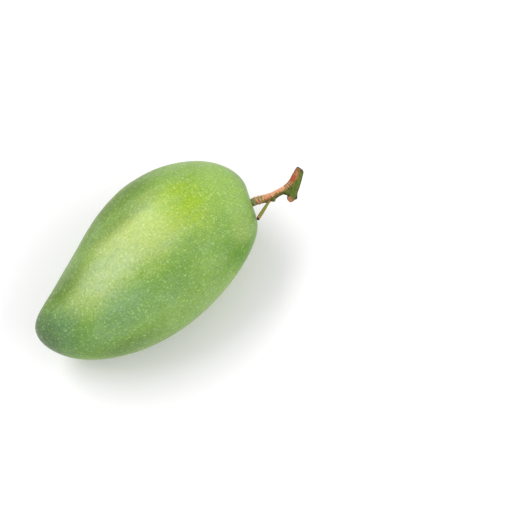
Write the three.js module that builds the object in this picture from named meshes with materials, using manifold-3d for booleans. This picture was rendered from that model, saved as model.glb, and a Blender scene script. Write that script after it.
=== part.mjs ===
// A green mango as picked, with the cut piece of stalk that it hung from.
// Millimetres, +Z up. The fruit lies on one cheek, on the flat spot at the origin. Its beak points
// along -X and its stalk along +X. +Y is the side whose outline hollows a little above the beak.
import * as THREE from "three";
import { mergeVertices } from "three/addons/utils/BufferGeometryUtils.js";
import Module from "manifold-3d";

const wasm = await Module();
wasm.setup();

// The fruit is a unit ball drawn out along its length. Each list gives one measure as the control
// values of a smooth curve that runs from the stem end to the beak.
const HALF_LENGTH = 71;
const MIDLINE_OFFSETS = [6.6, 4.8, 9.4, -16.9, -0.9];
const HALF_BREADTHS = [49.5, 35.8, 52.8, 26.5, 32.7];
const HALF_THICKNESSES = [40, 30, 42, 24, 28];
const FRUIT_DETAIL = 15;

// The stalk leaves the fruit a little to the full side of its end, from a shallow dimple.
const STEM_TURN = THREE.MathUtils.degToRad(-12);
const DIMPLE_DEPTH = 3.3;
const DIMPLE_RADIUS = 6.5;

// How the fruit comes to rest: its thick stem end rides higher than its beak.
const STEM_END_LIFT = THREE.MathUtils.degToRad(2.65);
const HOLLOW_SIDE_LIFT = THREE.MathUtils.degToRad(1.55);
const FLAT_SPOT_DEPTH = 0.35;

// The stalk's foot stands in a plain round hole at the bottom of the dimple.
const FOOT_RADIUS = 2.1;
const FOOT_DEPTH = 3;
const CLEARANCE = 0.3;

// Stalk. Each limb is a list of stations [x, y, z, radius], in the row's axes, measured from the
// point where the stalk leaves the skin. The fruit's own stalk is corky and ringed near the fruit, and
// at its far end it runs up into the twig that it grew from.
const FRUIT_STALK = [
  [1.3, -0.2, 0.1, 2.2],
  [4.0, -0.9, 0.6, 2.35],
  [6.4, -1.9, 1.1, 2.3],
  [8.7, -3.3, 1.7, 2.35],
  [11.1, -4.3, 2.5, 2.35],
  [15.4, -4.9, 3.6, 2.05],
  [19.4, -5.5, 4.2, 2.15],
  [23.0, -5.6, 5.0, 2.35],
  [26.3, -4.7, 6.1, 2.4],
  [29.0, -3.4, 7.5, 2.35],
  [31.1, -2.2, 8.9, 2.0],
  [31.8, -1.7, 9.4, 1.2],
];
const RING_COUNT = 6;
const RING_HEIGHT = 0.28;
const RING_SHARPNESS = 4;
const RINGS_FROM = 2.4;
const RINGS_TO = 10.4;

// The short web of bark that fills the fork between the fruit's stalk and the twig.
const FORK = [
  [18.4, -5.8, 3.9, 1.8],
  [20.2, -7.9, 4.1, 2.0],
  [20.6, -9.9, 4.3, 2.1],
];
// The thicker twig, cut off at its upper end.
const TWIG = [
  [32.5, -2.2, 9.7, 1.8],
  [31.6, -2.5, 9.2, 2.35],
  [29.9, -3.8, 7.7, 2.5],
  [27.2, -5.9, 5.9, 2.55],
  [24.3, -8.2, 4.4, 2.4],
  [22.3, -10.1, 3.6, 1.9],
];
// Two short stubs at its lower end: one where another fruit's stalk broke off, one where it died back.
const SCAR_STUB = [
  [22.8, -9.6, 4.0, 1.8],
  [19.7, -11.6, 5.0, 2.1],
  [18.3, -12.9, 6.6, 1.85],
  [17.6, -13.1, 7.1, 1.8],
];
const DEAD_STUB = [
  [23.4, -8.9, 4.0, 2.0],
  [22.0, -11.0, 3.0, 1.9],
  [21.3, -12.3, 2.2, 1.7],
  [21.0, -12.9, 1.9, 1.0],
];
// A thin withered flower stalk that hangs back beside the fruit, and a small dormant bud.
const WITHERED_STALK = [
  [10.6, -4.9, 1.2, 0.8],
  [7.6, -6.2, 2.0, 0.78],
  [2.5, -9.3, 5.0, 0.98],
  [-1.6, -11.7, 7.4, 1.05],
  [-4.1, -13.3, 8.8, 0.9],
];
const BUD = [
  [12.2, -4.6, 2.4, 1.6],
  [11.1, -6.6, 3.1, 1.35],
  [10.7, -7.4, 3.4, 0.8],
];

// The value at t, from 0 to 1, of the smooth curve with these control values.
function curveValue(controls, t) {
  let row = controls;
  while (row.length > 1) {
    row = row.slice(1).map((next, i) => row[i] * (1 - t) + next * t);
  }
  return row[0];
}

// The fruit's surface before its dimple, over the unit ball's point.
function plumpPoint(ball) {
  const t = (1 - ball.x) / 2;
  return new THREE.Vector3(
    HALF_LENGTH * ball.x,
    curveValue(MIDLINE_OFFSETS, t) + curveValue(HALF_BREADTHS, t) * ball.y,
    curveValue(HALF_THICKNESSES, t) * ball.z,
  );
}

function stemEndAt(turn) {
  return plumpPoint(new THREE.Vector3(Math.cos(turn), Math.sin(turn), 0));
}

// Where the stalk leaves the fruit before it is laid down: the point and the way out of the skin.
function stemSeat() {
  const NUDGE = 0.001;
  const point = stemEndAt(STEM_TURN);
  const along = stemEndAt(STEM_TURN + NUDGE).sub(point);
  const outward = new THREE.Vector3(along.y, -along.x, 0).normalize();
  return { point, outward };
}

function fruitGeometry() {
  const geometry = new THREE.IcosahedronGeometry(1, FRUIT_DETAIL);
  const seat = stemSeat();
  const places = geometry.attributes.position;
  const ball = new THREE.Vector3();
  for (let i = 0; i < places.count; i += 1) {
    const point = plumpPoint(ball.fromBufferAttribute(places, i));
    const away = point.distanceTo(seat.point) / DIMPLE_RADIUS;
    point.addScaledVector(seat.outward, -DIMPLE_DEPTH * Math.exp((-away * away) / 2));
    places.setXYZ(i, point.x, point.y, point.z);
  }
  return geometry;
}

// A round limb through its stations, closed at both ends. A relief raises rings on it: it gives the
// height to add at a distance along the limb.
function limbGeometry({ stations, sides, steps, relief = () => 0 }) {
  const path = new THREE.CatmullRomCurve3(stations.map(([x, y, z]) => new THREE.Vector3(x, y, z)));
  const radii = stations.map((station) => station[3]);
  const geometry = new THREE.CylinderGeometry(1, 1, 1, sides, steps);
  const places = geometry.attributes.position;
  const length = path.getLength();
  const upright = new THREE.Vector3(0, 0, 1);
  for (let i = 0; i < places.count; i += 1) {
    const t = THREE.MathUtils.clamp(places.getY(i) + 0.5, 0, 1);
    const span = Math.min(Math.floor(t * (radii.length - 1)), radii.length - 2);
    const radius = THREE.MathUtils.lerp(radii[span], radii[span + 1], t * (radii.length - 1) - span);
    const tangent = path.getTangent(t);
    const across = upright.clone().cross(tangent).normalize();
    const over = across.clone().cross(tangent);
    const reach = radius + relief(t * length);
    const point = path.getPoint(t);
    point.addScaledVector(across, reach * places.getX(i));
    point.addScaledVector(over, reach * places.getZ(i));
    places.setXYZ(i, point.x, point.y, point.z);
  }
  return geometry;
}

// Low, sharp rings in the bark between two distances along the fruit's stalk.
function ringRelief(distance) {
  const share = (distance - RINGS_FROM) / (RINGS_TO - RINGS_FROM);
  if (share < 0 || share > 1) {
    return 0;
  }
  const wave = Math.sin(share * RING_COUNT * Math.PI);
  return RING_HEIGHT * wave ** RING_SHARPNESS;
}

function solidOf(geometry) {
  const SAME_POINT = 1e-4;
  const bare = geometry.clone();
  bare.deleteAttribute("normal");
  bare.deleteAttribute("uv");
  const merged = mergeVertices(bare, SAME_POINT);
  return new wasm.Manifold(
    new wasm.Mesh({
      numProp: 3,
      vertProperties: merged.attributes.position.array,
      triVerts: new Uint32Array(merged.index.array),
    }),
  );
}

function geometryOf(solid) {
  const mesh = solid.getMesh();
  const geometry = new THREE.BufferGeometry();
  geometry.setAttribute("position", new THREE.BufferAttribute(mesh.vertProperties, 3));
  geometry.setIndex(new THREE.BufferAttribute(mesh.triVerts, 1));
  geometry.computeVertexNormals();
  return geometry;
}

// The centre of the space that a closed geometry encloses, and its lowest height.
function measure(geometry) {
  const places = geometry.attributes.position;
  const corners = [0, 1, 2].map(() => new THREE.Vector3());
  const centre = new THREE.Vector3();
  let volume = 0;
  let lowest = Infinity;
  for (let i = 0; i < places.count; i += 3) {
    const [a, b, c] = corners.map((corner, k) => corner.fromBufferAttribute(places, i + k));
    const share = a.dot(b.clone().cross(c)) / 6;
    centre.addScaledVector(a.clone().add(b).add(c), share / 4);
    volume += share;
    lowest = Math.min(lowest, a.z, b.z, c.z);
  }
  return { centre: centre.divideScalar(volume), lowest };
}

// Lays the fruit down: a turn, then the shift that puts the origin on its flat spot, under its
// weight. Returns the whole move.
function layDown(geometry) {
  const turn = new THREE.Matrix4()
    .makeRotationX(HOLLOW_SIDE_LIFT)
    .multiply(new THREE.Matrix4().makeRotationY(-STEM_END_LIFT));
  geometry.applyMatrix4(turn);
  const { centre, lowest } = measure(geometry);
  const shift = new THREE.Matrix4().makeTranslation(
    -centre.x,
    -centre.y,
    -lowest - FLAT_SPOT_DEPTH,
  );
  geometry.applyMatrix4(shift);
  return shift.multiply(turn);
}

function buildFruit() {
  const geometry = fruitGeometry();
  const laid = layDown(geometry);
  const seat = stemSeat();
  const outward = seat.outward.clone().transformDirection(laid);
  const foot = seat.point
    .clone()
    .addScaledVector(seat.outward, -DIMPLE_DEPTH)
    .applyMatrix4(laid);

  const BLOCK = 60;
  const underside = new THREE.BoxGeometry(BLOCK, BLOCK, BLOCK).translate(0, 0, -BLOCK / 2);
  const HOLE_SIDES = 24;
  const holeLength = 2 * (FOOT_DEPTH + CLEARANCE);
  const hole = new THREE.CylinderGeometry(
    FOOT_RADIUS + CLEARANCE,
    FOOT_RADIUS + CLEARANCE,
    holeLength,
    HOLE_SIDES,
  );
  hole.applyQuaternion(
    new THREE.Quaternion().setFromUnitVectors(new THREE.Vector3(0, 1, 0), outward),
  );
  hole.translate(foot.x, foot.y, foot.z);
  const solid = solidOf(geometry).subtract(solidOf(underside)).subtract(solidOf(hole));
  const skin = new THREE.MeshStandardMaterial({ color: 0x86ad55, roughness: 0.45, metalness: 0 });
  const mesh = new THREE.Mesh(geometryOf(solid), skin);
  mesh.name = "fruit";
  return { mesh, foot, outward };
}

function buildStalk(foot, outward) {
  const inHole = outward.clone().multiplyScalar(-FOOT_DEPTH);
  const atSkin = [0, 0, 0, FOOT_RADIUS];
  const fruitStalk = [[inHole.x, inHole.y, inHole.z, FOOT_RADIUS], atSkin, ...FRUIT_STALK];
  const limbs = [
    {
      stations: fruitStalk,
      sides: 16,
      steps: 90,
      relief: (distance) => ringRelief(distance - FOOT_DEPTH),
    },
    { stations: FORK, sides: 12, steps: 8 },
    { stations: TWIG, sides: 16, steps: 20 },
    { stations: SCAR_STUB, sides: 12, steps: 8 },
    { stations: DEAD_STUB, sides: 10, steps: 8 },
    { stations: WITHERED_STALK, sides: 8, steps: 12 },
    { stations: BUD, sides: 10, steps: 6 },
  ];
  const [first, ...others] = limbs.map(limbGeometry).map(solidOf);
  const joined = others.reduce((sum, limb) => sum.add(limb), first);
  const bark = new THREE.MeshStandardMaterial({ color: 0xa9704a, roughness: 0.8, metalness: 0 });
  const mesh = new THREE.Mesh(geometryOf(joined), bark);
  mesh.name = "stalk";
  mesh.position.copy(foot);
  return mesh;
}

const mango = new THREE.Group();
mango.name = "mango";
const fruit = buildFruit();
mango.add(fruit.mesh);
mango.add(buildStalk(fruit.foot, fruit.outward));

export default mango;
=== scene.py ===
"""A green mango on its cheek, with the cut piece of stalk that it hung from.

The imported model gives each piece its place. Here the fruit gets its skin, the stalk its bark, and
both a plain white studio. Sizes are in millimetres until a mesh is placed, and metres after that.
"""

from __future__ import annotations

import logging
import math
from dataclasses import dataclass, field, fields
from enum import Enum

import bmesh
import bpy
from mathutils import Matrix, Vector, noise
from mathutils.kdtree import KDTree

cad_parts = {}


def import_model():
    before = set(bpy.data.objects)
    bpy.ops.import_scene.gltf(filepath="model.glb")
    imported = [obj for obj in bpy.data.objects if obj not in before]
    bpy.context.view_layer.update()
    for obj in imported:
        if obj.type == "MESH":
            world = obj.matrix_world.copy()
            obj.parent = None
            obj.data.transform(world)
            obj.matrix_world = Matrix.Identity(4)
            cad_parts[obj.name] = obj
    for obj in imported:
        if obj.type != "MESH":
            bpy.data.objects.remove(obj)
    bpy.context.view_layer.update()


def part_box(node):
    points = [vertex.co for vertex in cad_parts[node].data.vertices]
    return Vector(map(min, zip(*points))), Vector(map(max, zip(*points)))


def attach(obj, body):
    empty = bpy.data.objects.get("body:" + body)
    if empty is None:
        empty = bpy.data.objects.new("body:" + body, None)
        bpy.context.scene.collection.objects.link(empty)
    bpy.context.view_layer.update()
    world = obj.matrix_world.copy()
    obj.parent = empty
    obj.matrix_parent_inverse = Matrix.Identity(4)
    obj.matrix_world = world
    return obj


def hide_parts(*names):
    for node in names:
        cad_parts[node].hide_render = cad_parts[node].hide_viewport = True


LOG = logging.getLogger("mango")

MM = 0.001

Pair = tuple[float, float]
Triple = tuple[float, float, float]
Station = tuple[float, float, float, float]
Tone = tuple[int, int, int]
Socket = bpy.types.NodeSocket

# Soft noise in a material stays between these nearly everywhere.
MOST_NOISE: Pair = (0.3, 0.7)


class Slot(Enum):
    """Names for the material slots."""

    SKIN = "skin"
    BARK = "bark"


class Part(Enum):
    """The parts of the stalk, each drawn as one limb."""

    FRUIT_STALK = "fruit stalk"
    FORK = "fork"
    TWIG = "twig"
    SCAR_STUB = "scar stub"
    DEAD_STUB = "dead stub"
    FLOWER_STALK = "withered flower stalk"
    BUD = "bud"


def colour(tone: Tone) -> tuple[float, float, float, float]:
    """Turns a screen colour into the linear colour that a shader takes.

    Args:
        tone: The red, green and blue, 0 to 255 each.

    Returns:
        The linear red, green and blue, and an alpha of 1.
    """
    knee, slope, offset, power = 0.04045, 12.92, 0.055, 2.4
    parts = [value / 255 for value in tone]
    linear = [p / slope if p <= knee else ((p + offset) / (1 + offset)) ** power for p in parts]
    return (linear[0], linear[1], linear[2], 1.0)


def curve_value(controls: tuple[float, ...], t: float) -> float:
    """Reads a smooth curve from its control values, by halving them down to one.

    Args:
        controls: The control values, from t = 0 to t = 1.
        t: How far along the curve, from 0 to 1.

    Returns:
        The curve's value there.
    """
    row = list(controls)
    while len(row) > 1:
        row = [a * (1 - t) + b * t for a, b in zip(row, row[1:])]
    return row[0]


def mesh_object(name: str, shape: bmesh.types.BMesh) -> bpy.types.Object:
    """Puts a finished shape, in metres, into a new object at the origin.

    Args:
        name: The object's name.
        shape: The shape, which is freed.

    Returns:
        The linked object.
    """
    mesh = bpy.data.meshes.new(name)
    shape.to_mesh(mesh)
    shape.free()
    mesh.shade_smooth()
    made = bpy.data.objects.new(name, mesh)
    bpy.context.scene.collection.objects.link(made)
    return made


class Graph:
    """A material's node tree, with a short method for each kind of node that a finish needs."""

    def __init__(self, name: str) -> None:
        """Starts a material with a Principled shader.

        Args:
            name: The material's name.
        """
        self.material = bpy.data.materials.new(name)
        self.material.use_nodes = True
        self.tree = self.material.node_tree
        self.tree.nodes.clear()
        self.shader = self.tree.nodes.new("ShaderNodeBsdfPrincipled")
        output = self.tree.nodes.new("ShaderNodeOutputMaterial")
        self.tree.links.new(self.shader.outputs["BSDF"], output.inputs["Surface"])

    def put(self, socket: Socket, value: object) -> None:
        """Links a socket to another node's output, or sets it to a plain value.

        Args:
            socket: The socket.
            value: The output, or the plain value.
        """
        if isinstance(value, Socket):
            self.tree.links.new(value, socket)
        else:
            socket.default_value = value

    def place(self) -> Socket:
        """Returns the point on the piece, in millimetres of the row frame."""
        source = self.tree.nodes.new("ShaderNodeTexCoord")
        return self.stretch(source.outputs["Object"], (1 / MM, 1 / MM, 1 / MM))

    def attribute(self, name: str) -> Socket:
        """Reads a number that the piece carries at each of its points.

        Args:
            name: The attribute's name.

        Returns:
            The number.
        """
        node = self.tree.nodes.new("ShaderNodeAttribute")
        node.attribute_name = name
        return node.outputs["Fac"]

    def stretch(self, vector: object, scale: Triple, shift: Triple = (0, 0, 0)) -> Socket:
        """Scales a point, then shifts it.

        Args:
            vector: The point.
            scale: What each coordinate is multiplied by.
            shift: What is then added to each.

        Returns:
            The new point.
        """
        node = self.tree.nodes.new("ShaderNodeMapping")
        self.put(node.inputs["Vector"], vector)
        node.inputs["Scale"].default_value = scale
        node.inputs["Location"].default_value = shift
        return node.outputs["Vector"]

    def sum(self, operation: str, *numbers: object) -> Socket:
        """Works out one operation on two or three numbers.

        Args:
            operation: The Math node's name for it.
            *numbers: The numbers.

        Returns:
            The result.
        """
        node = self.tree.nodes.new("ShaderNodeMath")
        node.operation = operation
        for socket, number in zip(node.inputs, numbers):
            self.put(socket, number)
        return node.outputs[0]

    def distance(self, vector: object) -> Socket:
        """Measures a vector.

        Args:
            vector: The vector.

        Returns:
            Its length.
        """
        node = self.tree.nodes.new("ShaderNodeVectorMath")
        node.operation = "LENGTH"
        self.put(node.inputs[0], vector)
        return node.outputs["Value"]

    def fade(self, value: object, low: float, high: float, start: float = 0.0,
             end: float = 1.0) -> Socket:
        """Eases smoothly from start to end as a value goes from low to high.

        Args:
            value: The value.
            low: Where the change starts.
            high: Where it ends.
            start: The result at low and below.
            end: The result at high and above.

        Returns:
            The result.
        """
        node = self.tree.nodes.new("ShaderNodeMapRange")
        node.interpolation_type = "SMOOTHSTEP"
        self.put(node.inputs["Value"], value)
        node.inputs["From Min"].default_value = low
        node.inputs["From Max"].default_value = high
        node.inputs["To Min"].default_value = start
        node.inputs["To Max"].default_value = end
        return node.outputs["Result"]

    def clouds(self, vector: object, size: float, detail: float = 2.0,
               roughness: float = 0.5) -> Socket:
        """Makes soft noise, about 0.5 in the mean.

        Args:
            vector: The point to read at.
            size: How far apart its features are, in millimetres.
            detail: How many times finer noise is added.
            roughness: How much the finer noise counts.

        Returns:
            The noise.
        """
        node = self.tree.nodes.new("ShaderNodeTexNoise")
        self.put(node.inputs["Vector"], vector)
        node.inputs["Scale"].default_value = 1 / size
        node.inputs["Detail"].default_value = detail
        node.inputs["Roughness"].default_value = roughness
        return node.outputs["Fac"]

    def cells(self, vector: object, size: float) -> tuple[Socket, Socket]:
        """Scatters seeds about size millimetres apart.

        Args:
            vector: The point to read at.
            size: The mean distance from seed to seed.

        Returns:
            The distance to the nearest seed, in sizes, and a random number that belongs to it.
        """
        node = self.tree.nodes.new("ShaderNodeTexVoronoi")
        self.put(node.inputs["Vector"], vector)
        node.inputs["Scale"].default_value = 1 / size
        parts = self.tree.nodes.new("ShaderNodeSeparateColor")
        self.put(parts.inputs[0], node.outputs["Color"])
        return node.outputs["Distance"], parts.outputs[0]

    def blend(self, factor: object, under: object, over: object, way: str = "MIX") -> Socket:
        """Lays one colour over another.

        Args:
            factor: How much of it, from 0 to 1.
            under: The colour below.
            over: The colour above.
            way: How they mix.

        Returns:
            The mixed colour.
        """
        node = self.tree.nodes.new("ShaderNodeMix")
        node.data_type = "RGBA"
        node.blend_type = way
        self.put(node.inputs[0], factor)
        self.put(node.inputs[6], under)
        self.put(node.inputs[7], over)
        return node.outputs[2]

    def relief(self, height: object, depth: float) -> None:
        """Gives the surface a fine relief.

        Args:
            height: The relief's height, from 0 to 1.
            depth: The height of 1, in millimetres.
        """
        node = self.tree.nodes.new("ShaderNodeBump")
        node.inputs["Distance"].default_value = depth * MM
        self.put(node.inputs["Height"], height)
        self.put(self.shader.inputs["Normal"], node.outputs["Normal"])


@dataclass(frozen=True)
class Blush:
    """A soft patch of another tone on the skin; some patches are painted highlight, painted shade,
    painted light or a painted reflection. Places and reaches are in millimetres.
    """

    name: str
    middle: Triple
    reach: Triple
    tone: Tone
    strength: float
    full_inside: float = 0.2
    gone_outside: float = 1.3


@dataclass(frozen=True)
class Scatter:
    """Small round marks scattered over the skin. Each has a chance number, which sets its strength.

    The spacing is in millimetres. A mark is full up to its core, and gone past its rim, both in
    spacings. Its strength grows from faintest to 1 as its number goes through the chances.
    """

    spacing: float
    core: float
    rim: float
    chances: Pair
    faintest: float = 0.0

    def draw(self, graph: Graph, place: Socket) -> Socket:
        """Draws the marks.

        Args:
            graph: The material's graph.
            place: The point on the skin.

        Returns:
            How much each point belongs to a mark, from 0 to 1.
        """
        apart, chance = graph.cells(place, self.spacing)
        inside = graph.fade(apart, self.core, self.rim, 1.0, 0.0)
        return graph.sum("MULTIPLY", inside, graph.fade(chance, *self.chances, self.faintest, 1.0))


@dataclass(frozen=True)
class Tint:
    """A fine pattern of two tones that lightens and darkens the skin. Its size is in mm."""

    size: float
    strength: float
    scale: Triple
    low_tone: Tone
    high_tone: Tone
    shift: Triple = (0, 0, 0)
    detail: float = 3.0
    roughness: float = 0.5

    def lay(self, graph: Graph, place: Socket, tone: Socket) -> Socket:
        """Lays the pattern over the skin's tone.

        Args:
            graph: The material's graph.
            place: The point on the skin.
            tone: The skin's tone so far.

        Returns:
            The tone with the pattern on it.
        """
        drawn = graph.stretch(place, self.scale, self.shift)
        soft = graph.fade(graph.clouds(drawn, self.size, self.detail, self.roughness), *MOST_NOISE)
        pattern = graph.blend(soft, colour(self.low_tone), colour(self.high_tone))
        return graph.blend(self.strength, tone, pattern, "OVERLAY")


@dataclass(frozen=True)
class MangoSkin:
    """The waxy peel: greens that drift into each other, a pale bloom and fine pale dots.

    Sizes are in millimetres, and strengths go from 0 to 1. Several blushes carry painted highlight,
    painted shade, painted light or a painted reflection as well as the peel's own tones.
    """

    leaf_green: Tone = (110, 151, 58)
    lime_green: Tone = (134, 172, 76)
    bloom_green: Tone = (146, 180, 116)
    dot_pale: Tone = (120, 146, 92)
    speck_brown: Tone = (66, 84, 36)
    lengthwise: Triple = (0.5, 1.0, 1.0)
    lengthwise_dots: Triple = (0.62, 1.0, 1.0)
    drift_size: float = 30.0
    bloom_size: float = 13.0
    bloom_range: Pair = (0.45, 0.75)
    bloom_strength: float = 0.4
    ragged_size: float = 9.0
    ragged_reach: float = 0.45
    cloud_detail: float = 4.0
    cloud_roughness: float = 0.6
    mottle: Tint = Tint(size=3.4, strength=0.3, scale=(0.6, 1.0, 1.0), shift=(3, 5, 7),
                        low_tone=(188, 188, 144), high_tone=(184, 186, 208))
    grain: Tint = Tint(size=0.9, strength=0.27, scale=(0.75, 1.0, 1.0), roughness=0.7,
                       low_tone=(62, 72, 60), high_tone=(212, 212, 212))
    pores: Scatter = Scatter(spacing=1.15, core=0.135, rim=0.45, chances=(0.2, 1.0), faintest=0.15)
    flecks: Scatter = Scatter(spacing=2.3, core=0.08, rim=0.34, chances=(0.2, 0.9), faintest=0.2)
    specks: Scatter = Scatter(spacing=3.1, core=0.05, rim=0.11, chances=(0.62, 0.7))
    dot_strength: float = 0.86
    speck_strength: float = 0.7
    wax_size: float = 6.0
    wax_roughness: Pair = (0.42, 0.52)
    gloss: float = 0.3
    sheen: float = 0.16
    sheen_roughness: float = 0.3
    sheen_tint: Triple = (1.0, 0.8, 0.9)
    pimple_size: float = 0.9
    pimple_detail: float = 3.0
    dot_height: float = 0.5
    relief_depth: float = 0.05
    blushes: tuple[Blush, ...] = (
        # Paler green in the middle, partly a painted highlight of the key light.
        Blush("pale middle", (-2, 5, 65), (46, 21, 22), (186, 203, 116), 0.95),
        # Paler beak side, partly the painted lower end of the highlight.
        Blush("pale beak side", (-43, -3, 57), (28, 14, 16), (164, 187, 106), 0.9),
        # Grey bloom in the middle, partly a painted bluish highlight.
        Blush("grey middle", (-28, -1, 62), (22, 13, 13), (182, 202, 146), 0.7),
        # Painted highlight at the top of the middle.
        Blush("pale top", (16, 13, 66), (20, 12, 16), (198, 218, 138), 0.7),
        Blush("yellow crown", (27, 10, 65), (21, 23, 18), (148, 184, 6), 0.8),
        # Darker leafy green along the flank, partly painted shade where the skin turns from the
        # light.
        Blush("leafy flank", (-4, 33, 52), (46, 13, 19), (97, 129, 32), 0.92),
        # Darker green at the middle's rim, partly painted shade that narrows the highlight.
        Blush("leafy rim of the middle", (-8, 18, 61), (30, 7, 10), (98, 134, 40), 0.56),
        # Darker leafy green on the beak's flank, partly painted shade.
        Blush("leafy beak flank", (-54, 10, 46), (28, 11, 16), (90, 123, 29), 0.9),
        # Painted shade on the far flank, joining the darker flank bands.
        Blush("leafy far flank", (-27, 21, 53), (17, 8, 9), (97, 125, 50), 0.42),
        Blush("grey flank", (-46, 14, 47), (20, 8, 11), (142, 164, 116), 0.26),
        Blush("grey shoulder", (50, 4, 58), (16, 36, 18), (152, 188, 92), 0.9),
        Blush("grey top", (36, 28, 56), (22, 12, 16), (140, 175, 86), 0.8),
        Blush("blue streak", (-4, -27, 58), (28, 8, 12), (102, 142, 46), 0.84),
        # Painted light: a paler patch on the right side.
        Blush("pale right side", (17, -27, 55), (16, 9, 11), (152, 190, 92), 0.5),
        Blush("grey lower side", (-24, -27, 56), (26, 9, 16), (130, 168, 98), 0.7),
        Blush("blue beak middle", (-32, -19, 58), (18, 8, 9), (144, 176, 142), 0.34),
        Blush("blue beak side", (-43, -26, 50), (26, 9, 12), (112, 149, 92), 0.78),
        Blush("blue beak", (-68, -10, 42), (20, 17, 18), (98, 135, 84), 0.9),
        # Painted shade: the beak tip darkened.
        Blush("beak tip", (-77, -3, 36), (12, 20, 20), (76, 102, 66), 0.9),
        # Lime green on the edge with no blue, partly a painted green reflection in place of the white
        # gloss.
        Blush("lime edge", (43, -29, 41), (14, 8, 15), (90, 142, 0), 0.92),
        Blush("bloom edge", (-2, -40, 40), (44, 9, 18), (134, 170, 84), 0.85),
        # Painted shade: the lower edge darkened.
        Blush("dark lower edge", (-42, -36, 37), (26, 7, 11), (92, 124, 54), 0.62),
        Blush("bloom at the scuff", (46, -20, 51), (9, 12, 9), (148, 178, 88), 0.9),
    )

    def clouds(self, graph: Graph, place: Socket, size: float) -> Socket:
        """Returns the well broken noise that most of the peel's larger patterns have."""
        return graph.clouds(place, size, self.cloud_detail, self.cloud_roughness)

    def blush(self, graph: Graph, place: Socket, tone: Socket, spot: Blush, ragged: Socket) -> Socket:
        """Lays one soft, uneven patch over the skin's tone.

        Args:
            graph: The material's graph.
            place: The point on the skin.
            tone: The skin's tone so far.
            spot: The patch.
            ragged: How far its edge is pushed in or out here.

        Returns:
            The tone with the patch on it.
        """
        scale = tuple(1 / reach for reach in spot.reach)
        shift = tuple(-middle / reach for middle, reach in zip(spot.middle, spot.reach))
        away = graph.sum("ADD", graph.distance(graph.stretch(place, scale, shift)), ragged)
        inside = graph.fade(away, spot.full_inside, spot.gone_outside, spot.strength, 0.0)
        return graph.blend(inside, tone, colour(spot.tone))

    def greens(self, graph: Graph, place: Socket) -> Socket:
        """Drifts from green to green, with every blush and the bloom.

        Args:
            graph: The material's graph.
            place: The point on the skin.

        Returns:
            The skin's tone, still without its fine patterns.
        """
        along = graph.stretch(place, self.lengthwise)
        drift = graph.fade(graph.clouds(along, self.drift_size), *MOST_NOISE)
        tone = graph.blend(drift, colour(self.leaf_green), colour(self.lime_green))
        ragged = graph.sum("MULTIPLY_ADD", self.clouds(graph, along, self.ragged_size),
                           2 * self.ragged_reach, -self.ragged_reach)
        for spot in self.blushes:
            tone = self.blush(graph, place, tone, spot, ragged)
        bloom = graph.fade(self.clouds(graph, along, self.bloom_size), *self.bloom_range, 0.0,
                           self.bloom_strength)
        return graph.blend(bloom, tone, colour(self.bloom_green))

    def material(self) -> bpy.types.Material:
        """Builds the peel's material.

        Returns:
            The material.
        """
        graph = Graph("mango peel")
        place = graph.place()
        tone = self.greens(graph, place)
        for pattern in (self.mottle, self.grain):
            tone = pattern.lay(graph, place, tone)
        along = graph.stretch(place, self.lengthwise_dots)
        dots = graph.sum("MAXIMUM", self.pores.draw(graph, along), self.flecks.draw(graph, along))
        pale = graph.sum("MULTIPLY", dots, self.dot_strength)
        tone = graph.blend(pale, tone, colour(self.dot_pale), "SCREEN")
        dark = graph.sum("MULTIPLY", self.specks.draw(graph, place), self.speck_strength)
        tone = graph.blend(dark, tone, colour(self.speck_brown))

        shader = graph.shader
        graph.put(shader.inputs["Base Color"], tone)
        wax = self.clouds(graph, place, self.wax_size)
        graph.put(shader.inputs["Roughness"], graph.fade(wax, *MOST_NOISE, *self.wax_roughness))
        shader.inputs["Specular IOR Level"].default_value = self.gloss
        shader.inputs["Sheen Weight"].default_value = self.sheen
        shader.inputs["Sheen Roughness"].default_value = self.sheen_roughness
        shader.inputs["Sheen Tint"].default_value = (*self.sheen_tint, 1)
        pimples = graph.clouds(place, self.pimple_size, self.pimple_detail, self.cloud_roughness)
        height = graph.sum("ADD", graph.sum("MULTIPLY", dots, self.dot_height), pimples)
        graph.relief(height, self.relief_depth)
        return graph.material


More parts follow.
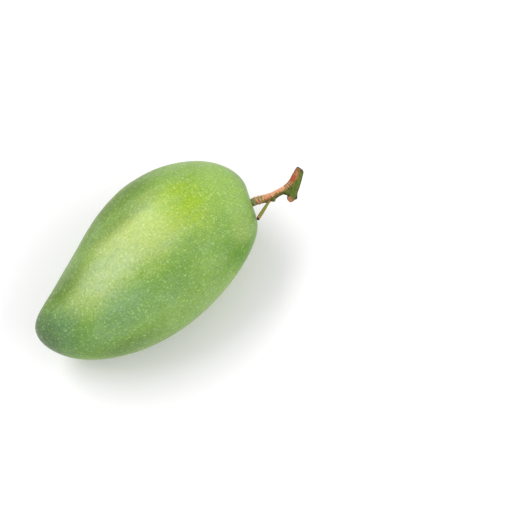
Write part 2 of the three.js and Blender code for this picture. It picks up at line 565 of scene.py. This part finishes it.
@dataclass(frozen=True)
class TwigBark:
    """Bark of a mango twig: red-brown cork on the side that saw the sun, olive green behind it.

    Sizes are in millimetres, and strengths go from 0 to 1. Its salmon also paints highlight, and its
    crack and dry browns also paint shade.
    """

    brown: Tone = (146, 98, 64)
    tan: Tone = (184, 132, 90)
    # Salmon of the cork, also used for painted highlight on the side facing the light.
    salmon: Tone = (218, 160, 122)
    rust: Tone = (170, 76, 44)
    # Dark brown of cracks and grooves, also used for painted shade.
    crack: Tone = (92, 66, 36)
    olive: Tone = (98, 98, 38)
    twig_green: Tone = (94, 128, 48)
    deep_green: Tone = (58, 78, 32)
    straw_green: Tone = (132, 134, 50)
    lichen_grey: Tone = (152, 158, 110)
    # Brown of dried bark, also used for painted shade.
    dry_brown: Tone = (62, 52, 30)
    scar_orange: Tone = (180, 114, 76)
    fine_size: float = 0.5
    fine_detail: float = 4.0
    broad_size: float = 1.6
    broad_detail: float = 3.0
    noise_roughness: float = 0.6
    patch_range: Pair = (0.35, 0.65)
    frayed_reach: float = 0.3
    pale_range: Pair = (0.2, 0.8)
    crack_range: Pair = (0.1, 1.0)
    dry_range: Pair = (0.0, 1.0)
    rust_strength: float = 0.9
    shade_strength: float = 0.35
    lichen_strength: float = 0.8
    crack_strength: float = 0.8
    dry_strength: float = 0.95
    roughness: Pair = (0.55, 0.8)
    gloss: float = 0.2
    relief_depth: float = 0.1

    def material(self) -> bpy.types.Material:
        """Builds the bark's material. It reads what the piece carries at each point.

        Returns:
            The material.
        """
        graph = Graph("mango twig bark")
        place = graph.place()
        fine = graph.clouds(place, self.fine_size, self.fine_detail, self.noise_roughness)
        broad = graph.clouds(place, self.broad_size, self.broad_detail, self.noise_roughness)
        patchy = graph.fade(broad, *self.patch_range)
        frayed = graph.sum("MULTIPLY_ADD", fine, 2 * self.frayed_reach, -self.frayed_reach)

        def torn(name: str, span: Pair, strength: float = 1.0) -> Socket:
            """Returns how much one of the piece's numbers shows, with a frayed edge."""
            return graph.fade(graph.sum("ADD", graph.attribute(name), frayed), *span, 0.0, strength)

        cork = graph.blend(patchy, colour(self.brown), colour(self.tan))
        cork = graph.blend(torn("rust", MOST_NOISE, self.rust_strength), cork, colour(self.rust))
        # Pale salmon on ring tops and at random, and painted highlight on the side facing the light.
        cork = graph.blend(torn("pale", self.pale_range), cork, colour(self.salmon))
        green = graph.blend(graph.attribute("fresh"), colour(self.olive), colour(self.twig_green))
        shade = graph.sum("MULTIPLY", patchy, self.shade_strength)
        green = graph.blend(shade, green, colour(self.deep_green))
        tone = graph.blend(torn("cork", MOST_NOISE), green, cork)
        tone = graph.blend(graph.attribute("straw"), tone, colour(self.straw_green))
        lichen = torn("lichen", MOST_NOISE, self.lichen_strength)
        tone = graph.blend(lichen, tone, colour(self.lichen_grey))
        # Dark cracks and grooves, and painted shade on sides facing away from the light, at the
        # collar's foot and at the flower stalk's base.
        crack = graph.fade(graph.attribute("crack"), *self.crack_range, 0.0, self.crack_strength)
        tone = graph.blend(crack, tone, colour(self.crack))
        # Dried brown at cut and dead ends, and painted shade in the fork's notch and on the dark
        # sides of the stubs, the bud and the flower stalk.
        dry = graph.fade(graph.attribute("dry"), *self.dry_range, 0.0, self.dry_strength)
        tone = graph.blend(dry, tone, colour(self.dry_brown))
        scar = graph.blend(graph.fade(fine, *MOST_NOISE), colour(self.scar_orange), colour(self.tan))
        tone = graph.blend(graph.attribute("scar"), tone, scar)

        shader = graph.shader
        graph.put(shader.inputs["Base Color"], tone)
        graph.put(shader.inputs["Roughness"], graph.fade(fine, *MOST_NOISE, *self.roughness))
        shader.inputs["Specular IOR Level"].default_value = self.gloss
        graph.relief(graph.sum("ADD", fine, broad), self.relief_depth)
        return graph.material


@dataclass
class Fruit:
    """The fruit: a ball drawn out by smooth curves from stem end to beak, laid on its cheek."""

    half_length: float = 71.0
    midline_offsets: tuple[float, ...] = (6.6, 4.8, 9.4, -16.9, -0.9)
    half_breadths: tuple[float, ...] = (49.5, 35.8, 52.8, 26.5, 32.7)
    half_thicknesses: tuple[float, ...] = (40.0, 30.0, 42.0, 24.0, 28.0)
    stem_turn: float = math.radians(-12)
    dimple_depth: float = 3.3
    dimple_radius: float = 6.5
    stem_end_lift: float = math.radians(2.65)
    hollow_side_lift: float = math.radians(1.55)
    ball_cuts: int = 7
    swell_size: float = 26.0
    swell_height: float = 0.3
    ripple_size: float = 9.0
    ripple_share: float = 0.4
    finish: MangoSkin = MangoSkin()

    def plump_point(self, ball: Vector) -> Vector:
        """Returns the undimpled surface over a point of the unit ball."""
        t = (1 - ball.x) / 2
        return Vector((
            self.half_length * ball.x,
            curve_value(self.midline_offsets, t) + curve_value(self.half_breadths, t) * ball.y,
            curve_value(self.half_thicknesses, t) * ball.z,
        ))

    def stem_end_at(self, turn: float) -> Vector:
        """Returns the surface's outline near the stem end, at a turn of the ball."""
        return self.plump_point(Vector((math.cos(turn), math.sin(turn), 0)))

    def stem_seat(self) -> tuple[Vector, Vector]:
        """Finds where the stalk leaves the skin, before the fruit is laid down.

        Returns:
            The point, and the way out of the skin there.
        """
        nudge = 0.001
        point = self.stem_end_at(self.stem_turn)
        along = self.stem_end_at(self.stem_turn + nudge) - point
        return point, Vector((along.y, -along.x, 0)).normalized()

    def turn(self) -> Matrix:
        """Returns the turn that lays the fruit down."""
        lift = Matrix.Rotation(-self.stem_end_lift, 4, "Y")
        return Matrix.Rotation(self.hollow_side_lift, 4, "X") @ lift

    def shape(self) -> bmesh.types.BMesh:
        """Makes the smooth fruit, laid down but not yet put in its place.

        Returns:
            The shape, in millimetres.
        """
        seat, outward = self.stem_seat()
        shape = bmesh.new()
        bmesh.ops.create_icosphere(shape, subdivisions=self.ball_cuts, radius=1)
        for vert in shape.verts:
            vert.co = self.plump_point(vert.co)
            away = (vert.co - seat).length / self.dimple_radius
            vert.co -= outward * self.dimple_depth * math.exp(-away * away / 2)
        bmesh.ops.transform(shape, matrix=self.turn(), verts=shape.verts)
        return shape

    def place(self, shape: bmesh.types.BMesh) -> Matrix:
        """Finds the move that puts the laid fruit where its solid is.

        Args:
            shape: The laid fruit.

        Returns:
            The move, in millimetres.
        """
        low, high = (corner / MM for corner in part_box("fruit"))
        lowest = Vector(min(vert.co[axis] for vert in shape.verts) for axis in range(3))
        highest = Vector(max(vert.co[axis] for vert in shape.verts) for axis in range(3))
        middle = (low + high) / 2 - (lowest + highest) / 2
        return Matrix.Translation((middle.x, middle.y, high.z - highest.z))

    def swell(self, shape: bmesh.types.BMesh) -> None:
        """Gives the skin the slight unevenness of a grown thing, and its flat spot.

        Args:
            shape: The fruit, in its place.
        """
        shape.normal_update()
        moved = []
        for vert in shape.verts:
            wave = noise.noise(vert.co / self.swell_size)
            wave += self.ripple_share * noise.noise(vert.co / self.ripple_size)
            moved.append(vert.co + vert.normal * wave * self.swell_height)
        for vert, point in zip(shape.verts, moved):
            point.z = max(point.z, 0.0)
            vert.co = point

    def build(self) -> tuple[bpy.types.Object, Vector]:
        """Builds and dresses the fruit.

        Returns:
            The piece, and the point in millimetres where the stalk leaves its skin.
        """
        shape = self.shape()
        placed = self.place(shape)
        bmesh.ops.transform(shape, matrix=placed, verts=shape.verts)
        self.swell(shape)
        seat, outward = self.stem_seat()
        foot = placed @ self.turn() @ (seat - outward * self.dimple_depth)
        bmesh.ops.transform(shape, matrix=Matrix.Scale(MM, 4), verts=shape.verts)
        piece = mesh_object("mango_fruit", shape)
        piece.data.materials.append(self.finish.material())
        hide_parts("fruit")
        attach(piece, "root")
        return piece, foot


@dataclass(frozen=True)
class Limb:
    """A round limb of the stalk. Each station is a point and a radius, from the skin outwards."""

    part: Part
    stations: tuple[Station, ...]
    sides: int = 28
    step: float = 0.25
    fewest_rings: int = 4
    scar_rim: float = 0.3
    scar_sink: float = 0.35

    def point(self, t: float) -> Vector:
        """Finds the limb's section at a place along it, on a smooth curve through the stations.

        Args:
            t: The place, from 0 to 1.

        Returns:
            The centre, with the radius as a fourth number.
        """
        spans = len(self.stations) - 1
        span = min(int(t * spans), spans - 1)
        u = t * spans - span
        before, a, b, after = (
            Vector(self.stations[min(max(index, 0), spans)]) for index in range(span - 1, span + 3)
        )
        return 0.5 * (
            2 * a + (b - before) * u + (2 * before - 5 * a + 4 * b - after) * u ** 2
            + (3 * a - before - 3 * b + after) * u ** 3
        )

    def way(self, t: float) -> Vector:
        """Returns the limb's direction at t."""
        nudge = 0.01
        return (self.point(min(t + nudge, 1)) - self.point(max(t - nudge, 0))).to_3d().normalized()

    def steps(self) -> int:
        """Counts the rings that the limb is drawn with.

        Returns:
            The number.
        """
        points = [Vector(station[:3]) for station in self.stations]
        length = sum((b - a).length for a, b in zip(points, points[1:]))
        return max(self.fewest_rings, round(length / self.step))

    def turn(self, t: float) -> Matrix:
        """Finds the turn that takes the Z axis to the limb's direction.

        Args:
            t: The place along the limb, from 0 to 1.

        Returns:
            The turn.
        """
        along = self.way(t)
        across = Vector((0, 0, 1)).cross(along).normalized()
        return Matrix((across, along.cross(across), along)).transposed()

    def ring(self, t: float) -> Matrix:
        """Returns the move that takes a unit circle to the limb's section at t."""
        here = self.point(t)
        return Matrix.Translation(here.to_3d()) @ self.turn(t).to_4x4() @ Matrix.Scale(here[3], 4)

    def draw(self, shape: bmesh.types.BMesh) -> None:
        """Draws the limb into a shape: one circle, pushed from ring to ring.

        Args:
            shape: The shape.
        """
        at = self.ring(0)
        start = bmesh.ops.create_circle(shape, cap_ends=True, segments=self.sides, radius=1,
                                        matrix=at)
        edges = list({edge for vert in start["verts"] for edge in vert.link_edges})
        for count in range(1, self.steps() + 1):
            pushed = bmesh.ops.extrude_edge_only(shape, edges=edges)["geom"]
            verts = {part for part in pushed if isinstance(part, bmesh.types.BMVert)}
            edges = [part for part in pushed if isinstance(part, bmesh.types.BMEdge)]
            edges = [edge for edge in edges if verts.issuperset(edge.verts)]
            goal = self.ring(count / self.steps())
            bmesh.ops.transform(shape, matrix=goal @ at.inverted(), verts=list(verts))
            at = goal
        end = bmesh.ops.edgeloop_fill(shape, edges=edges)["faces"]
        if self.part is Part.SCAR_STUB:
            bmesh.ops.inset_region(shape, faces=end, thickness=self.scar_rim)
            bmesh.ops.translate(shape, vec=self.way(1) * -self.scar_sink, verts=end[0].verts)


@dataclass(frozen=True)
class Spot:
    """A place on the middle line of a limb. Lengths are in millimetres."""

    limb: Limb
    centre: Vector
    radius: float
    turn: Matrix
    along: float
    left: float
    thin_limb: float = 1.3
    thick_bark_lead: float = 0.5

    @property
    def reach(self) -> float:
        """How far the limb's bark reaches. A thin shoot starts out of the thick limb's bark."""
        thick = self.limb.stations[0][3] > self.thin_limb
        return self.radius + self.thick_bark_lead * thick


@dataclass
class Bark:
    """What the bark is like at a point. All but rise go from 0 to 1, and rise is in millimetres."""

    cork: float = 0.0
    pale: float = 0.0
    rust: float = 0.0
    crack: float = 0.0
    fresh: float = 0.0
    straw: float = 0.0
    lichen: float = 0.0
    dry: float = 0.0
    scar: float = 0.0
    rise: float = 0.0

    @classmethod
    def layers(cls) -> tuple[str, ...]:
        """Returns the names of what the bark's material reads."""
        return tuple(layer.name for layer in fields(cls) if layer.name != "rise")


@dataclass
class BarkPoint:
    """A point of the fused stalk, with what the bark's rules ask about it.

    Side, shade and ahead say how far the bark faces the light side, the painted shade side and the
    limb's tip, from -1 to 1; side and shade set where highlight and shade are painted. Lump, blotch
    and bend are finer and broader unevenness, from -1 to 1.
    """

    spot: Spot
    point: Vector
    # Side sets cork, painted highlight and painted shade; shade sets painted shade.
    side: float
    shade: float
    ahead: float
    lumps_per_mm: float = 1.1
    blotches_per_mm: float = 0.55
    bends_per_mm: float = 0.5
    blotch_shift: Triple = (7, 0, 0)
    ring_wander: float = 0.5
    streak_wander: float = 2.0
    lump: float = field(init=False)
    blotch: float = field(init=False)
    bend: float = field(init=False)

    def __post_init__(self) -> None:
        """Works out the unevenness here."""
        self.lump = noise.noise(self.point * self.lumps_per_mm)
        self.blotch = noise.noise(self.point * self.blotches_per_mm + Vector(self.blotch_shift))
        self.bend = noise.noise(self.point * self.bends_per_mm)

    def ring(self, along: float, pitch: float) -> float:
        """Finds how near the point is to the top of an uneven ring in the bark.

        Args:
            along: The point's distance along the limb.
            pitch: The distance from ring to ring.

        Returns:
            How near, from 0 to 1.
        """
        wander = self.ring_wander * self.bend
        return abs(math.sin((along + wander) / pitch * math.pi))

    def streak(self, count: int) -> float:
        """Finds how near the point is to the top of a ridge along the limb.

        Args:
            count: The number of ridges round the limb.

        Returns:
            How near, from 0 to 1.
        """
        out = self.spot.turn.inverted() @ (self.point - self.spot.centre)
        wander = self.streak_wander * self.bend
        return 0.5 + 0.5 * math.cos(count * math.atan2(out.y, out.x) + wander)


@dataclass
class Stalk:
    """The woody stalk: ringed cork at the fruit, and the cut piece of twig that it grew from.

    Each rule for the bark weighs how far a point faces the light side against how uneven it is there,
    and paints highlight where it faces the light and shade where it faces away.
    """

    foot: Vector
    foot_depth: float = 3.0
    voxel_size: float = 0.15
    smoothings: int = 3
    spots_a_ring: int = 3
    near_spots: int = 24
    collar_end: float = 3.4
    rings_end: float = 8.9
    node_end: float = 12.8
    band_start: float = 21.8
    band_end: float = 26.3
    ring_pitch: float = 2.1
    band_pitch: float = 1.3
    rust_reach: float = 2.6
    cork_start: float = 6.0
    cork_fade: float = 2.5
    scar_depth: float = 0.9
    scar_facing: float = 0.7
    scar_collar: Pair = (2.3, 0.45)
    scar_crack: Pair = (1.5, 0.35)
    flower_stalk_dry: float = 3.2
    grooves: int = 7
    rusty_grooves: int = 9
    # Facing the light side brings cork and painted highlight; facing away from it, or towards the
    # painted shade side, brings painted shade.
    sun_side: Triple = (-0.25, 0.9, 0.34)
    dark_side: Triple = (-0.82, 0.57, 0.0)
    finish: TwigBark = TwigBark()

    def limbs(self) -> tuple[Limb, ...]:
        """Lists the limbs.

        Returns:
            The limbs, in millimetres from the point where the stalk leaves the skin.
        """
        return (
            Limb(Part.FRUIT_STALK, (
                (-2.9, 0.9, -0.1, 2.1), (0.0, 0.0, 0.0, 2.1), (1.3, -0.2, 0.1, 2.2),
                (4.0, -0.9, 0.6, 2.35), (6.4, -1.9, 1.1, 2.3), (8.7, -3.3, 1.7, 2.35),
                (11.1, -4.3, 2.5, 2.35), (15.4, -4.9, 3.6, 2.05), (19.4, -5.5, 4.2, 2.15),
                (23.0, -5.6, 5.0, 2.35), (26.3, -4.7, 6.1, 2.4), (29.0, -3.4, 7.5, 2.35),
                (31.1, -2.2, 8.9, 2.0), (31.8, -1.7, 9.4, 1.2),
            )),
            Limb(Part.FORK, (
                (18.4, -5.8, 3.9, 1.8), (20.2, -7.9, 4.1, 2.0), (20.6, -9.9, 4.3, 2.1),
            )),
            Limb(Part.TWIG, (
                (32.5, -2.2, 9.7, 1.8), (31.6, -2.5, 9.2, 2.35), (29.9, -3.8, 7.7, 2.5),
                (27.2, -5.9, 5.9, 2.55), (24.3, -8.2, 4.4, 2.4), (22.3, -10.1, 3.6, 1.9),
            )),
            Limb(Part.SCAR_STUB, (
                (22.8, -9.6, 4.0, 1.8), (19.7, -11.6, 5.0, 2.1), (18.3, -12.9, 6.6, 1.85),
                (17.6, -13.1, 7.1, 1.8),
            )),
            Limb(Part.DEAD_STUB, (
                (23.4, -8.9, 4.0, 2.0), (22.0, -11.0, 3.0, 1.9), (21.3, -12.3, 2.2, 1.7),
                (21.0, -12.9, 1.9, 1.0),
            )),
            Limb(Part.FLOWER_STALK, (
                (10.6, -4.9, 1.2, 0.8), (7.6, -6.2, 2.0, 0.78), (2.5, -9.3, 5.0, 0.98),
                (-1.6, -11.7, 7.4, 1.05), (-4.1, -13.3, 8.8, 0.9),
            ), sides=16),
            Limb(Part.BUD, (
                (12.2, -4.6, 2.4, 1.6), (11.1, -6.6, 3.1, 1.35), (10.7, -7.4, 3.4, 0.8),
            ), sides=16),
        )

    def fused(self) -> bmesh.types.BMesh:
        """Draws the limbs and grows them together.

        Returns:
            One closed skin, in millimetres.
        """
        shape = bmesh.new()
        for limb in self.limbs():
            limb.draw(shape)
        bmesh.ops.recalc_face_normals(shape, faces=shape.faces)
        rough = mesh_object("rough_stalk", shape)
        grown = rough.modifiers.new("Grow together", "REMESH")
        grown.mode = "VOXEL"
        grown.voxel_size = self.voxel_size
        shape = bmesh.new()
        shape.from_object(rough, bpy.context.evaluated_depsgraph_get())
        bpy.data.objects.remove(rough)
        for _ in range(self.smoothings):
            bmesh.ops.smooth_vert(shape, verts=shape.verts, factor=0.5, use_axis_x=True,
                                  use_axis_y=True, use_axis_z=True)
        return shape

    def spots(self) -> list[Spot]:
        """Walks along the middle line of every limb.

        Returns:
            Close places on it.
        """
        spots = []
        for limb in self.limbs():
            count = self.spots_a_ring * limb.steps()
            points = [limb.point(k / count) for k in range(count + 1)]
            along = [0.0]
            for a, b in zip(points, points[1:]):
                along.append(along[-1] + (b - a).to_3d().length)
            spots += [Spot(limb, points[k].to_3d(), points[k][3], limb.turn(k / count), along[k],
                           along[-1] - along[k]) for k in range(count + 1)]
        return spots

    def collar(self, at: BarkPoint, along: float) -> Bark:
        """Returns the grey collar that stands in the fruit's dimple, with painted shade towards the
        skin and on its side away from the light.
        """
        # Painted shade: darker towards the skin and on the side away from the light.
        return Bark(cork=0.3 + 0.2 * at.side + 0.6 * at.lump, fresh=0.3,
                    lichen=0.7 + 0.9 * at.blotch,
                    crack=1.9 - along - max(at.side, -0.6), rise=0.1 * at.lump)

    def ringed_cork(self, at: BarkPoint, along: float) -> Bark:
        """Returns the slanted, corky rings past the collar."""
        ring = at.ring(along - self.collar_end + 0.8 * at.side, self.ring_pitch + 0.5 * at.blotch)
        # The pale salmon is partly painted highlight, stronger on the side facing the light.
        return Bark(cork=0.75 + 0.8 * at.lump,
                    pale=0.8 * ring ** 2 + 0.4 * at.side + at.lump - 0.1,
                    rust=0.15 + 0.8 * at.blotch - 0.6 * at.side, lichen=0.25 - 1.2 * at.lump,
                    crack=(1 - ring) ** 1.5 * (0.6 + 0.8 * at.lump),
                    rise=0.24 * ring ** 2 - 0.12 + 0.24 * at.lump)

    def node(self, at: BarkPoint) -> Bark:
        """Returns the swollen, rusty knot that the bud and the flower stalk grew from."""
        # Painted highlight: paler salmon on the side facing the light. Painted shade: darker on the
        # side facing away.
        return Bark(cork=1.1 + 0.5 * at.side, pale=0.3 + 0.5 * at.side + 0.6 * at.blotch,
                    rust=0.5 + 1.3 * at.lump, crack=-0.4 - 1.8 * at.side,
                    rise=0.06 + 0.16 * at.lump)

    def bare_length(self, at: BarkPoint) -> Bark:
        """Returns the smooth, pale length past the node, with painted highlight on its lit side and
        painted shade on its far side.
        """
        # Painted highlight: paler salmon on the side facing the light. Painted shade: darker on the
        # side facing away.
        return Bark(cork=0.6 + 1.1 * at.side, pale=0.3 + 0.8 * at.side + 0.5 * at.lump,
                    rust=0.1 + 0.7 * at.lump, crack=-0.5 - 1.8 * at.side, rise=0.06 * at.lump)

    def scale_band(self, at: BarkPoint, along: float) -> Bark:
        """Returns the narrow band of close rings where bud scales fell."""
        ring = at.ring(along - self.band_start, self.band_pitch)
        return Bark(cork=0.5 + 1.1 * at.side, pale=0.5 * ring, rust=0.5 * (1 - ring),
                    lichen=0.5 * ring, crack=(1 - ring) ** 2, rise=0.16 * ring)

    def rusty_end(self, at: BarkPoint, along: float) -> Bark:
        """Gives the bark of the stalk's far end, with its rusty patch.

        Args:
            at: The point.
            along: Its distance along the stalk, from the skin.

        Returns:
            The bark there.
        """
        away = abs(along - self.band_end - self.rust_reach) / self.rust_reach
        rust = 1.5 - away + 0.5 * at.lump
        streak = at.streak(self.rusty_grooves)
        return Bark(cork=0.6 + 1.1 * at.side,
                    pale=0.2 * streak + 0.3 * at.blotch - 0.1 - max(rust, 0.0),
                    rust=rust * (0.6 + 0.4 * streak), crack=0.5 * (1 - streak) ** 3, fresh=0.8,
                    dry=0.75 - at.spot.left / 4 + 0.5 * at.lump,
                    rise=0.1 * at.lump + 0.08 * streak)

    def fruit_stalk(self, at: BarkPoint) -> Bark:
        """Gives the bark of the fruit's own stalk, length by length.

        Args:
            at: The point.

        Returns:
            The bark there.
        """
        along = at.spot.along - self.foot_depth
        if along < self.collar_end:
            return self.collar(at, along)
        if along < self.rings_end:
            return self.ringed_cork(at, along)
        if along < self.node_end:
            return self.node(at)
        if along < self.band_start:
            return self.bare_length(at)
        if along < self.band_end:
            return self.scale_band(at, along)
        return self.rusty_end(at, along)

    def fork(self, at: BarkPoint) -> Bark:
        """Returns the green web of bark in the fork, with painted shade at its notch and on its
        underside.
        """
        # Painted shade: dark in the notch and on the underside, away from the light.
        return Bark(cork=0.5 * at.side - 0.1, fresh=0.3,
                    dry=1.2 * at.shade - 2.4 * at.side + 0.1, rise=0.05 * at.lump)

    def twig(self, at: BarkPoint) -> Bark:
        """Gives the bark of the grooved green twig, corky on its sun side, dried at its cut, and with
        painted shade on its side away from the light.

        Args:
            at: The point.

        Returns:
            The bark there.
        """
        streak = at.streak(self.grooves)
        cork_left = max(0.0, at.spot.along - self.cork_start) / self.cork_fade
        # The dark grooves are partly painted shade, darker on the side facing away from the light.
        return Bark(cork=0.55 + 0.9 * at.side - cork_left, pale=0.1 + 0.4 * at.lump, fresh=streak,
                    crack=0.4 * (1 - streak) ** 2 - 0.4 - 0.8 * at.side,
                    dry=0.7 - at.spot.along / 4 + 0.5 * at.lump,
                    rise=0.1 * at.lump + 0.12 * streak)

    def scar_stub(self, at: BarkPoint) -> Bark:
        """Gives the bark of the stub that ends in an open scar.

        Args:
            at: The point.

        Returns:
            The bark there.
        """
        left = at.spot.left
        open_face = left < self.scar_depth and at.ahead > self.scar_facing
        collar, crack = (math.exp(-((left - middle) / width) ** 2)
                         for middle, width in (self.scar_collar, self.scar_crack))
        # Painted shade: dark on the stub's shaded side, kept off the open scar.
        return Bark(cork=0.3 * at.side - 0.1, scar=float(open_face), fresh=0.4 + 0.4 * collar,
                    crack=0.9 * crack, dry=1.8 * at.shade - 0.2 - 2 * open_face,
                    rise=0.24 * collar)

    def dead_stub(self, at: BarkPoint) -> Bark:
        """Returns the stub that died back, dry towards its tip and with painted shade on its side
        away from the light.
        """
        # Dry towards the tip, with painted shade on the side facing away from the light.
        return Bark(cork=0.15, fresh=0.3, dry=1.1 - at.spot.left / 1.7 - at.side,
                    rise=0.06 * at.lump)

    def flower_stalk(self, at: BarkPoint) -> Bark:
        """Gives the bark of the thin straw-green flower stalk, which withered from its tip. Its dark
        side and its base carry painted shade.

        Args:
            at: The point.

        Returns:
            The bark there.
        """
        base = min(max(2.6 - at.spot.along / 1.4, 0.0), 1.0)
        withered = max(0.0, 1 - at.spot.left / self.flower_stalk_dry)
        # Painted shade on the stalk's dark side, a painted shadow at its base, and painted shade
        # added to the withered tip's dark side.
        return Bark(cork=base + 1.2 * withered, rust=0.2 * base,
                    crack=0.2 + 1.4 * at.shade + 0.5 * base,
                    straw=0.9 + 0.3 * at.lump - base - 1.2 * withered,
                    dry=1.2 - at.spot.left / 0.8 + 0.8 * at.shade * withered,
                    rise=0.06 * at.lump)

    def bud(self, at: BarkPoint) -> Bark:
        """Returns the small dormant bud, darker towards its tip and with painted shade on its shaded
        side.
        """
        # Painted shade on the bud's shaded side, most towards its tip.
        return Bark(cork=0.1 + 0.3 * at.lump, fresh=0.2,
                    dry=0.4 + 1.4 * at.shade - at.spot.left / 3, rise=0.06 * at.lump)

    def bark(self, at: BarkPoint) -> Bark:
        """Gives the bark at a point, by the rule for the limb that it belongs to.

        Args:
            at: The point.

        Returns:
            The bark there.
        """
        rules = {
            Part.FRUIT_STALK: self.fruit_stalk,
            Part.FORK: self.fork,
            Part.TWIG: self.twig,
            Part.SCAR_STUB: self.scar_stub,
            Part.DEAD_STUB: self.dead_stub,
            Part.FLOWER_STALK: self.flower_stalk,
            Part.BUD: self.bud,
        }
        return rules[at.spot.limb.part](at)

    def dress(self, shape: bmesh.types.BMesh) -> None:
        """Raises the bark's relief and writes down what the bark's material reads.

        Args:
            shape: The fused stalk, in millimetres from the point where it leaves the skin.
        """
        spots = self.spots()
        tree = KDTree(len(spots))
        for index, spot in enumerate(spots):
            tree.insert(spot.centre, index)
        tree.balance()
        layers = {name: shape.verts.layers.float.new(name) for name in Bark.layers()}
        # How far each point faces the light side and the painted shade side, for the painted
        # highlight and shade.
        light_way = Vector(self.sun_side).normalized()
        dark = Vector(self.dark_side)
        shape.normal_update()
        risen = []
        for vert in shape.verts:
            near = tree.find_n(vert.co, self.near_spots)
            spot = spots[min(near, key=lambda found: found[2] - spots[found[1]].reach)[1]]
            bark = self.bark(BarkPoint(spot, vert.co, vert.normal.dot(light_way), vert.normal.dot(dark),
                                       vert.normal.dot(spot.turn.col[2])))
            for name, layer in layers.items():
                vert[layer] = min(max(getattr(bark, name), 0.0), 1.0)
            risen.append(vert.co + vert.normal * bark.rise)
        for vert, point in zip(shape.verts, risen):
            vert.co = point

    def build(self) -> bpy.types.Object:
        """Builds and dresses the stalk.

        Returns:
            The piece.
        """
        shape = self.fused()
        self.dress(shape)
        bmesh.ops.translate(shape, vec=self.foot, verts=shape.verts)
        bmesh.ops.transform(shape, matrix=Matrix.Scale(MM, 4), verts=shape.verts)
        piece = mesh_object("mango_stalk", shape)
        piece.data.materials.append(self.finish.material())
        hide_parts("stalk")
        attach(piece, "root")
        return piece


@dataclass(frozen=True)
class Softbox:
    """An oblong studio light that shines at the fruit. Sizes are in millimetres."""

    name: str
    way: Triple
    long_side: Triple
    distance: float
    length: float
    width: float
    watts: float

    def build(self, middle: Vector) -> None:
        """Hangs the light.

        Args:
            middle: The point that it shines at, in millimetres.
        """
        data = bpy.data.lights.new(self.name, "AREA")
        data.shape = "RECTANGLE"
        data.size = self.length * MM
        data.size_y = self.width * MM
        data.energy = self.watts
        light = bpy.data.objects.new(self.name, data)
        out = Vector(self.way).normalized()
        across = out.cross(Vector(self.long_side)).normalized()
        turn = Matrix((across.cross(out), across, out)).transposed()
        light.matrix_world = Matrix.Translation((middle + out * self.distance) * MM) @ turn.to_4x4()
        bpy.context.scene.collection.objects.link(light)


@dataclass(frozen=True)
class Studio:
    """A white floor, soft light all round and two softboxes. Sizes are in millimetres."""

    azimuth: float = math.radians(-35)
    elevation: float = math.radians(68)
    distance: float = 778.0
    looks_at: Triple = (45.75, -31.11, 35.11)
    lens: float = 100.0
    sensor_width: float = 36.0
    nearest: float = 10.0
    floor_size: float = 12000.0
    floor_white: Triple = (0.95, 0.93, 0.96)
    floor_roughness: float = 0.9
    floor_gloss: float = 0.1
    sky: float = 0.68
    lights: tuple[Softbox, ...] = (
        Softbox("key softbox", (-0.26, 0.48, 0.84), (0.7, 0.68, -0.2), 3000, 2600, 1040, 46.0),
        Softbox("fill softbox", (0.5, -0.6, 0.62), (0.7, 0.68, 0.0), 3000, 3000, 1800, 32.0),
    )

    def camera(self) -> None:
        """Sets up the camera, which looks down on the fruit."""
        level = math.cos(self.elevation)
        back = Vector((math.sin(self.azimuth) * level, -math.cos(self.azimuth) * level,
                       math.sin(self.elevation)))
        data = bpy.data.cameras.new("camera")
        data.lens = self.lens
        data.sensor_width = self.sensor_width
        data.clip_start = self.nearest * MM
        camera = bpy.data.objects.new("camera", data)
        camera.location = (Vector(self.looks_at) + back * self.distance) * MM
        camera.rotation_mode = "QUATERNION"
        camera.rotation_quaternion = (-back).to_track_quat("-Z", "Y")
        bpy.context.scene.collection.objects.link(camera)
        bpy.context.scene.camera = camera

    def floor(self) -> None:
        """Lays the plain white floor."""
        shape = bmesh.new()
        bmesh.ops.create_grid(shape, x_segments=1, y_segments=1, size=self.floor_size * MM / 2)
        piece = mesh_object("studio_floor", shape)
        graph = Graph("studio floor")
        graph.shader.inputs["Base Color"].default_value = (*self.floor_white, 1)
        graph.shader.inputs["Roughness"].default_value = self.floor_roughness
        graph.shader.inputs["Specular IOR Level"].default_value = self.floor_gloss
        piece.data.materials.append(graph.material)

    def build(self, middle: Vector) -> None:
        """Builds the floor, the lights and the camera.

        Args:
            middle: The point that the lights shine at, in millimetres.
        """
        self.floor()
        world = bpy.data.worlds.new("studio air")
        world.use_nodes = True
        air = world.node_tree.nodes["Background"]
        air.inputs["Color"].default_value = (1, 1, 1, 1)
        air.inputs["Strength"].default_value = self.sky
        bpy.context.scene.world = world
        for light in self.lights:
            light.build(middle)
        self.camera()
        bpy.context.scene.view_settings.view_transform = "Standard"


def main() -> None:
    """Builds the mango and its studio."""
    logging.basicConfig(level=logging.INFO, format="%(name)s: %(message)s")
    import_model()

    fruit, foot = Fruit().build()
    LOG.info("%s: %d faces", fruit.name, len(fruit.data.polygons))
    stalk = Stalk(foot).build()
    LOG.info("%s: %d faces", stalk.name, len(stalk.data.polygons))
    low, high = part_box("fruit")
    Studio().build((low + high) / 2 / MM)
    LOG.info("studio: camera, lights and floor")


if __name__ == "__main__":
    main()
